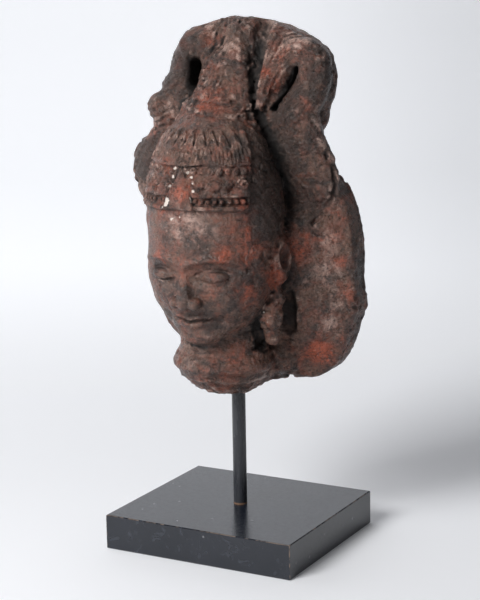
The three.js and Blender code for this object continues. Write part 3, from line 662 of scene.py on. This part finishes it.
def give_values(mesh, name, values):
    """Keeps one number for each vertex, for the material to read."""
    layer = mesh.attributes.new(name, "FLOAT", "POINT")
    layer.data.foreach_set("value", np.asarray(values, np.float32))


HEAD_TRIANGLES = 190000


def carve_head():
    places, quads = surface_nets(sample_field(stone))
    places = settle(stone, places.astype(np.float32))
    made = new_object("stone_head", mesh_from("stone_head", places, quads))
    triangles = len(quads) * 2
    if triangles > HEAD_TRIANGLES:
        thin = made.modifiers.new("thin", "DECIMATE")
        thin.ratio = HEAD_TRIANGLES / triangles
        lighter = made.evaluated_get(bpy.context.evaluated_depsgraph_get())
        thick_mesh = made.data
        made.data = bpy.data.meshes.new_from_object(lighter)
        made.modifiers.clear()
        bpy.data.meshes.remove(thick_mesh)
    mesh = made.data
    mesh.name = "stone_head"
    mesh.polygons.foreach_set("use_smooth", [True] * len(mesh.polygons))

    co, no = places_of(mesh), normals_of(mesh)
    on_face = smooth_step(-66, -80, co[:, 1]) * band(co[:, 2], 205, 322, 8)
    give_values(mesh, "grainy", 1 - 0.35 * on_face)
    # How shut in each place is, near and far, kept for the shade that the material paints into the hollows
    for name, reach in (("hollow_near", 3.0), ("hollow_far", 12.0)):
        out = co + no * reach
        open_air = carving([out[:, i] for i in range(3)]) / reach
        give_values(mesh, name, np.clip(1 - open_air, 0, 1.5) * (1 - 0.25 * on_face))
    within = co - no * 2.5
    solid = -carving([within[:, i] for i in range(3)]) / 2.5
    give_values(mesh, "ridge", np.clip(1 - solid, 0, 1))
    return made


head = carve_head()


def srgb(red, green, blue):
    """A colour given from 0 to 255 as a screen shows it."""
    parts = []
    for part in (red, green, blue):
        c = part / 255
        parts.append(c / 12.92 if c <= 0.04045 else ((c + 0.055) / 1.055) ** 2.4)
    return (*parts, 1.0)


class Finish:
    """Builds one node material. Sizes are in millimetres."""

    def __init__(self, name):
        self.material = bpy.data.materials.new(name)
        self.material.use_nodes = True
        self.tree = self.material.node_tree
        self.surface = self.tree.nodes["Principled BSDF"]
        self.place = self.add("ShaderNodeTexCoord").outputs["Object"]

    def add(self, kind, **settings):
        node = self.tree.nodes.new(kind)
        for name, value in settings.items():
            setattr(node, name, value)
        return node

    def feed(self, socket, value):
        """Links a socket to a value, or sets it as a plain number or colour."""
        if isinstance(value, bpy.types.NodeSocket):
            self.tree.links.new(value, socket)
        else:
            socket.default_value = value

    def moved(self, offset, stretch=(1, 1, 1)):
        node = self.add("ShaderNodeMapping")
        self.feed(node.inputs["Vector"], self.place)
        node.inputs["Location"].default_value = offset
        node.inputs["Scale"].default_value = stretch
        return node.outputs["Vector"]

    def noise(self, size, detail=4.0, rough=0.55, twist=0.0, offset=(0, 0, 0), stretch=(1, 1, 1)):
        node = self.add("ShaderNodeTexNoise")
        self.feed(node.inputs["Vector"], self.moved(offset, stretch))
        node.inputs["Scale"].default_value = 1 / (size * MM)
        node.inputs["Detail"].default_value = detail
        node.inputs["Roughness"].default_value = rough
        node.inputs["Distortion"].default_value = twist
        return node.outputs["Fac"]

    def cells(self, size, offset=(0, 0, 0)):
        """Distance from the middle of random cells."""
        node = self.add("ShaderNodeTexVoronoi")
        self.feed(node.inputs["Vector"], self.moved(offset))
        node.inputs["Scale"].default_value = 1 / (size * MM)
        return node.outputs["Distance"]

    def kept(self, name):
        """A number that the mesh keeps for each vertex."""
        return self.add("ShaderNodeAttribute", attribute_name=name).outputs["Fac"]

    def ramp(self, value, low, high, to_low=0.0, to_high=1.0):
        """The value spread smoothly from one range to another."""
        node = self.add("ShaderNodeMapRange", interpolation_type="SMOOTHSTEP")
        self.feed(node.inputs["Value"], value)
        node.inputs["From Min"].default_value = low
        node.inputs["From Max"].default_value = high
        node.inputs["To Min"].default_value = to_low
        node.inputs["To Max"].default_value = to_high
        return node.outputs["Result"]

    def maths(self, operation, a, b=0.0, c=0.0):
        node = self.add("ShaderNodeMath", operation=operation)
        for socket, value in zip(node.inputs, (a, b, c)):
            self.feed(socket, value)
        return node.outputs["Value"]

    def times(self, *values):
        total = values[0]
        for value in values[1:]:
            total = self.maths("MULTIPLY", total, value)
        return total

    def plus(self, *values):
        total = values[0]
        for value in values[1:]:
            total = self.maths("ADD", total, value)
        return total

    def mix(self, share, a, b):
        """Colour a where share is 0 and colour b where it is 1."""
        node = self.add("ShaderNodeMix", data_type="RGBA")
        self.feed(node.inputs[0], share)
        self.feed(node.inputs[6], a)
        self.feed(node.inputs[7], b)
        return node.outputs[2]

    def done(self, colour, rough, height=None, depth=0.5, **others):
        """Sets the surface. Depth is how deep the height's relief is."""
        self.feed(self.surface.inputs["Base Color"], colour)
        self.feed(self.surface.inputs["Roughness"], rough)
        for name, value in others.items():
            self.feed(self.surface.inputs[name.replace("_", " ")], value)
        if height is not None:
            bump = self.add("ShaderNodeBump")
            bump.inputs["Strength"].default_value = 1.0
            bump.inputs["Distance"].default_value = depth * MM
            self.feed(bump.inputs["Height"], height)
            self.feed(self.surface.inputs["Normal"], bump.outputs["Normal"])
        return self.material


def stone_finish():
    """Brown-black patina worn through to red ochre, paler where the stone stands proud and at listed
    places, with painted shade in the hollows and on some sides turned from the light.
    """
    brown, tan, dusty = srgb(70, 54, 48), srgb(112, 84, 71), srgb(126, 100, 88)
    rust, orange, paler_stone = srgb(122, 70, 54), srgb(174, 84, 56), srgb(200, 168, 155)
    dark_patina_and_shade_colour, crack_black, painted_shade_black = srgb(46, 37, 33), srgb(30, 25, 23), srgb(18, 14, 12)
    pale_speck, dark_speck, chalk = srgb(180, 148, 132), srgb(30, 23, 20), srgb(226, 214, 204)

    f = Finish("carved_stone")
    # How shut in each place is: the hollows get painted shade and a rougher surface
    near, far = f.kept("hollow_near"), f.kept("hollow_far")
    hollow_shade = f.ramp(f.plus(f.times(near, 0.5), f.times(far, 0.9)), 0.22, 0.95)
    ridge = f.kept("ridge")
    grainy = f.kept("grainy")
    broad = f.noise(34, 6, 0.6, 0.6)
    patchy = f.noise(17, 8, 0.72, 0.8, (3.1, 1.7, 0.4))
    small = f.noise(5, 6, 0.65, 0.3, (7.3, 2.2, 5.1))
    grain = f.noise(3.0, 7, 0.7, 1.3, (1.3, 8.1, 2.6))
    cracks = f.noise(7, 5, 0.6, 1.4, (4.4, 0.3, 8.2), (1, 1, 2.2))

    colour = f.mix(f.ramp(broad, 0.38, 0.62), brown, tan)
    colour = f.mix(f.times(f.ramp(small, 0.45, 0.68), 0.55), colour, dusty)
    ochre = f.plus(f.times(patchy, 0.75), f.times(small, 0.25), f.times(f.kept("ochre"), 0.19))
    colour = f.mix(f.times(f.ramp(ochre, 0.44, 0.60), 0.7), colour, rust)
    colour = f.mix(f.times(f.ramp(ochre, 0.56, 0.75), 0.8), colour, orange)
    wear = f.noise(9, 6, 0.65, 0.4, (2, 9, 4))
    # Paler where the stone stands proud, in random patches and at the listed pale places
    rubbed = f.plus(f.times(ridge, 0.8), f.times(wear, 0.9), f.times(f.kept("pale"), 0.35))
    colour = f.mix(f.times(f.ramp(rubbed, 0.60, 0.95), 0.7), colour, paler_stone)
    # Dark patina in random patches, and painted shade at some of the listed darker places
    dark_patina_and_shade = f.plus(f.noise(16, 8, 0.7, 0.7, (5, 5, 1)), f.times(f.kept("dark_patina_and_shade"), 0.2))
    colour = f.mix(f.times(f.ramp(dark_patina_and_shade, 0.48, 0.64), 0.8), colour, dark_patina_and_shade_colour)
    colour = f.mix(f.times(f.ramp(grain, 0.55, 0.70), 0.55, grainy), colour, pale_speck)
    colour = f.mix(f.times(f.ramp(grain, 0.48, 0.38), 0.8, grainy), colour, dark_speck)
    colour = f.mix(f.times(f.ramp(cracks, 0.44, 0.36), 0.5), colour, crack_black)
    # Painted shade: the hollows are darkened to near black
    colour = f.mix(f.times(hollow_shade, 0.95), colour, painted_shade_black)
    chip = f.ramp(f.plus(f.kept("chip"), f.times(f.plus(grain, -0.5), 0.9)), 0.45, 0.55)
    colour = f.mix(chip, colour, chalk)

    rough = f.plus(f.ramp(small, 0.3, 0.7, 0.2, 0.43), f.times(hollow_shade, 0.25), f.times(chip, 0.2))
    pitted = f.times(f.cells(3.4), -0.2)
    height = f.plus(f.times(grain, 0.6), f.times(small, 0.5), pitted, f.times(cracks, 0.3))
    return f.done(colour, rough, f.times(height, grainy), 2.8, Specular_IOR_Level=0.5)


PLINTH_HALF_X = 95
PLINTH_HALF_Y = 85
PLINTH_TOP = 32.5


def edge_nearness(f, half_x, half_y, top):
    """How far a place is from the nearest upper or upright edge of a block on the floor, in metres."""
    split = f.add("ShaderNodeSeparateXYZ")
    f.feed(split.inputs[0], f.place)
    from_x = f.maths("SUBTRACT", half_x * MM, f.maths("ABSOLUTE", split.outputs["X"]))
    from_y = f.maths("SUBTRACT", half_y * MM, f.maths("ABSOLUTE", split.outputs["Y"]))
    from_top = f.maths("SUBTRACT", top * MM, split.outputs["Z"])
    upright = f.maths("MAXIMUM", from_x, from_y)
    over_x = f.maths("MAXIMUM", from_x, from_top)
    over_y = f.maths("MAXIMUM", from_y, from_top)
    return f.maths("MINIMUM", upright, f.maths("MINIMUM", over_x, over_y))


def plinth_finish():
    """Satin black, rubbed to bare metal along its edges."""
    f = Finish("plinth_black")
    nearest = edge_nearness(f, PLINTH_HALF_X, PLINTH_HALF_Y, PLINTH_TOP)
    wear = f.noise(16, 6, 0.6, 0.4, (4, 2, 7))
    small = f.noise(4, 5, 0.6, 0.0, (1, 6, 3))
    worn = f.times(
        f.ramp(nearest, 0.0009, 0.0003),
        f.ramp(f.plus(f.times(wear, 0.6), f.times(small, 0.4)), 0.46, 0.56),
    )
    base = f.mix(f.ramp(f.noise(45, 5, 0.6, 0.3), 0.35, 0.65), srgb(19, 24, 33), srgb(26, 30, 39))
    base = f.mix(f.times(f.ramp(small, 0.62, 0.74), 0.3), base, srgb(66, 69, 76))
    smudge = f.ramp(f.noise(11, 6, 0.6, 1.0, (3, 3, 9)), 0.56, 0.7)
    base = f.mix(f.times(smudge, 0.3), base, srgb(74, 79, 90))
    colour = f.mix(f.times(worn, 0.55), base, srgb(150, 122, 98))
    dings = f.ramp(f.cells(17, (2, 5, 1)), 0.08, 0.055)
    colour = f.mix(f.times(dings, 0.5), colour, srgb(140, 140, 142))
    rough = f.plus(f.ramp(small, 0.3, 0.7, 0.17, 0.26), f.times(worn, 0.2))
    return f.done(colour, rough, f.noise(1.2, 4, 0.6), 0.05, Specular_IOR_Level=0.65)


def rod_finish():
    """Blackened steel, rubbed where it meets the plinth."""
    f = Finish("rod_steel")
    split = f.add("ShaderNodeSeparateXYZ")
    f.feed(split.inputs[0], f.place)
    foot = f.ramp(split.outputs["Z"], (PLINTH_TOP + 2) * MM, (PLINTH_TOP + 0.7) * MM)
    streak = f.noise(6, 5, 0.6, 0.0, (2, 2, 2), (1, 1, 0.12))
    colour = f.mix(f.ramp(streak, 0.35, 0.65), srgb(40, 42, 47), srgb(54, 56, 61))
    colour = f.mix(f.times(foot, 0.7), colour, srgb(146, 112, 84))
    rough = f.ramp(streak, 0.3, 0.7, 0.24, 0.34)
    return f.done(colour, rough, f.noise(1.0, 4, 0.6), 0.03, Specular_IOR_Level=0.5)


# Warmer, paler and darker places on the patina: the place, its reach and its strength. Some darker places
# are painted shade, on sides turned from the light and in the cut beside the right pendant.
TINTS = {
    "ochre": (
        ((-21, -3, 462), 7, 1.0), ((-48, -4, 462), 7, 1.0), ((-51, -10, 440), 6, 0.9),
        ((-13, -12, 437), 8, 0.9), ((54, 1, 458), 14, 0.8), ((40, -14, 436), 6, 1.0),
        ((48, -8, 422), 8, 0.9), ((2, -44, 409), 18, 0.9), ((-18, -86, 357), 8, 1.0),
        ((0, -96, 339), 11, 0.6), ((-22, -92, 319), 8, 0.8), ((49, -62, 358), 7, 1.0),
        ((50, -71, 320), 12, 1.1), ((69, -13, 282), 14, 1.0), ((100, 9, 265), 7, 1.0),
        ((59, -41, 260), 15, 1.2), ((80, 5, 186), 14, 1.6), ((0, -46, 157), 18, 0.6),
        ((50, -71, 286), 16, 1.2), ((48, -72, 251), 10, 1.1), ((36, -85, 283), 9, 0.9),
        ((-24, -88, 283), 12, 0.8), ((104, 14, 240), 9, 0.7), ((90, 4, 290), 12, 0.6),
        ((30, -60, 185), 14, 0.5), ((75, 0, 380), 9, 0.8), ((95, 40, 330), 12, 0.7),
    ),
    "pale": (
        ((12, -94, 311), 22, 0.75), ((-10, -95, 309), 16, 0.5), ((97, 6, 234), 10, 0.8),
        ((88, 5, 290), 20, 0.8), ((92, 6, 258), 18, 0.7), ((84, 4, 205), 16, 0.6),
        ((6, -40, 152), 24, 0.5), ((75, 0, 465), 16, 0.4),
        ((54, 1, 464), 18, 0.9), ((94, 6, 214), 9, 0.8), ((5, -10, 455), 16, 0.6),
        ((0, -70, 375), 18, 0.6), ((76, 0, 254), 16, 0.5), ((-12, -66, 184), 14, 0.5),
    ),
    "chip": (
        ((-10, -88, 358), 1.8, 1.0), ((-11, -90, 351), 1.9, 1.0), ((-12.4, -92.5, 343), 1.6, 1.0),
        ((-14, -95, 331), 2.4, 1.0), ((-15, -96.5, 327), 2.2, 1.0), ((4, -90, 355), 1.8, 1.0),
        ((8, -91, 351), 1.8, 1.0), ((10, -92, 346), 1.7, 1.0), ((11.6, -94.7, 340), 1.7, 1.0),
        ((-10, -95, 315), 1.8, 1.0), ((-2.7, -95, 317), 1.4, 0.9), ((52.5, -53, 237), 1.5, 0.9),
        ((53, -47.5, 229), 1.3, 0.9), ((57, -47.5, 221), 1.3, 0.9), ((60, -18, 241), 1.4, 0.8),
    ),
    "dark_patina_and_shade": (
        ((-45, -8, 450), 20, 0.9), ((-60, -2, 420), 16, 0.8), ((80, 8, 430), 16, 1.2),
        ((62, -6, 420), 12, 0.9), ((75, 5, 400), 12, 0.8), ((60, -8, 350), 14, 0.9),
        ((-80, -5, 345), 16, 0.9), ((60, -16, 222), 9, 1.4), ((28, 6, 455), 12, 1.2),
        ((0, -98, 250), 9, 0.5), ((-30, -85, 268), 10, 0.6), ((20, -84, 222), 14, 0.7),
        ((52, -44, 363), 22, 1.3), ((59, -45, 333), 22, 1.4), ((60, -50, 308), 16, 1.2),
        ((110, 35, 257), 12, 1.3), ((108, 39, 210), 14, 1.2), ((45, -66, 262), 12, 1.0),
        ((20, -90, 286), 9, 0.6), ((-78, -9, 372), 10, 0.5), ((50, -10, 400), 14, 1.0),
        ((60, -5, 372), 16, 1.0), ((68, -4, 315), 14, 0.9), ((78, 10, 425), 16, 1.1),
        ((-66, -2, 440), 18, 1.0), ((-86, -8, 352), 16, 1.1), ((-42, -6, 458), 14, 0.6),
    ),
}


def tint_head(mesh):
    """Keeps each tint's strength on the mesh, with chips along the cut edge of the diadem's leaf."""
    co = places_of(mesh)
    for name, spots in TINTS.items():
        total = np.zeros(len(co))
        for place, reach, strength in spots:
            off2 = ((co - np.array(place)) ** 2).sum(1)
            total += strength * np.exp(-off2 / reach ** 2)
        give_values(mesh, name, total)
    p = [co[:, i] for i in range(3)]
    along, inside = diadem_place(p)
    edge = front_leaf(along, p[2])[1] * smooth_step(-60, -80, p[1])
    patchy = 0.8 * edge * smooth_step(0.0, 0.5, coarse_grain(p, 9.0))
    layer = mesh.attributes["chip"]
    spots = np.empty(len(co), np.float32)
    layer.data.foreach_get("value", spots)
    layer.data.foreach_set("value", np.maximum(spots, patchy).astype(np.float32))


tint_head(head.data)
head.data.materials.append(stone_finish())
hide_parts("carved_head")
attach(head, "root")

for node_name, finish in (("display_plinth", plinth_finish()), ("support_rod", rod_finish())):
    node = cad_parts[node_name]
    for place in node.material_slots:
        place.material = finish


# The paper glows as painted light, more behind the object than below it and less to the right, as painted
# shade. Away is the way the camera looks
PAPER_GLOW = (0.06, 0.5)
PAPER_SIDES = 96
AWAY_X, AWAY_Y = -0.48, 0.876


def sweep():
    """A pale paper bowl round the object, flat below it."""
    profile = [(0.0, 0.0), (1.6, 0.0), (2.2, 0.06), (2.7, 0.35), (3.0, 0.9), (3.15, 1.8), (3.2, 3.6)]
    places, faces = [], []
    for radius, height in profile:
        for i in range(PAPER_SIDES):
            turn = 2 * math.pi * i / PAPER_SIDES
            places.append((radius * math.cos(turn) * 1000, radius * math.sin(turn) * 1000, height * 1000))
    for row in range(len(profile) - 1):
        for i in range(PAPER_SIDES):
            j = (i + 1) % PAPER_SIDES
            a, b = row * PAPER_SIDES, (row + 1) * PAPER_SIDES
            faces.append((a + i, a + j, b + j, b + i))
    made = new_object("paper_sweep", mesh_from("paper_sweep", places, np.array(faces)))
    made.data.polygons.foreach_set("use_smooth", [True] * len(made.data.polygons))
    f = Finish("paper")
    split = f.add("ShaderNodeSeparateXYZ")
    f.feed(split.inputs[0], f.place)
    behind = f.plus(f.times(split.outputs["X"], AWAY_X), f.times(split.outputs["Y"], AWAY_Y))
    aside = f.plus(f.times(split.outputs["X"], AWAY_Y), f.times(split.outputs["Y"], -AWAY_X))
    level = f.ramp(behind, 0.1, 1.6, PAPER_GLOW[0], PAPER_GLOW[1])
    # Painted shade: the glow falls to half towards the right
    glow = f.times(level, f.ramp(aside, -0.1, 0.7, 1.0, 0.5))
    unlit = f.maths("MAXIMUM", f.ramp(behind, -0.5, -1.0), f.ramp(aside, 0.9, 1.4))
    tone = f.mix(unlit, srgb(235, 236, 239), srgb(84, 85, 88))
    paper = f.done(tone, 0.9, Emission_Color=srgb(240, 242, 246), Emission_Strength=glow)
    made.data.materials.append(paper)


sweep()


def softbox(name, place, aim, size, power):
    light = bpy.data.lights.new(name, "AREA")
    light.size = size
    light.energy = power
    made = bpy.data.objects.new(name, light)
    bpy.context.scene.collection.objects.link(made)
    made.location = place
    made.rotation_euler = (Vector(aim) - Vector(place)).to_track_quat("-Z", "Y").to_euler()


def round_object(turn, rise, distance):
    """A place round the head, by its turn from the front and its rise, in degrees."""
    a, e = math.radians(turn), math.radians(rise)
    flat = distance * math.cos(e)
    return flat * math.sin(a), -flat * math.cos(a), 0.3 + distance * math.sin(e)


HEAD_MIDDLE = (0, 0, 0.3)
softbox("key", round_object(-16, 34, 2.2), HEAD_MIDDLE, 1.0, 57)
softbox("side", round_object(-75, 20, 1.9), HEAD_MIDDLE, 1.2, 2)
softbox("top", (-0.3, 0.5, 2.4), HEAD_MIDDLE, 1.6, 8)

world = bpy.data.worlds.new("studio")
bpy.context.scene.world = world
world.use_nodes = True
world.node_tree.nodes["Background"].inputs["Color"].default_value = (0.86, 0.88, 0.92, 1)
world.node_tree.nodes["Background"].inputs["Strength"].default_value = 0.05
bpy.context.scene.view_settings.view_transform = "Standard"

# The camera, fitted to the plinth's corners and to the rod
TURN = math.radians(28.83)
RISE = math.radians(11.54)
ROLL = math.radians(-1.01)
DISTANCE = 1.539
AIM_ASIDE = 0.00289
AIM_HEIGHT = 0.22667
FOCAL = 100.74


def set_camera():
    back = Vector((math.sin(TURN) * math.cos(RISE), -math.cos(TURN) * math.cos(RISE), math.sin(RISE)))
    level = Vector((math.cos(TURN), math.sin(TURN), 0))
    up = back.cross(level)
    right = level * math.cos(ROLL) + up * math.sin(ROLL)
    top = up * math.cos(ROLL) - level * math.sin(ROLL)
    aim = Vector((AIM_ASIDE * level.x, AIM_ASIDE * level.y, AIM_HEIGHT))
    lens = bpy.data.cameras.new("camera")
    lens.sensor_width = 36
    lens.lens = FOCAL
    made = bpy.data.objects.new("camera", lens)
    bpy.context.scene.collection.objects.link(made)
    place = aim + back * DISTANCE
    rows = [(*row, place[i]) for i, row in enumerate(zip(right, top, back))]
    made.matrix_world = Matrix([*rows, (0, 0, 0, 1)])
    bpy.context.scene.camera = made


set_camera()
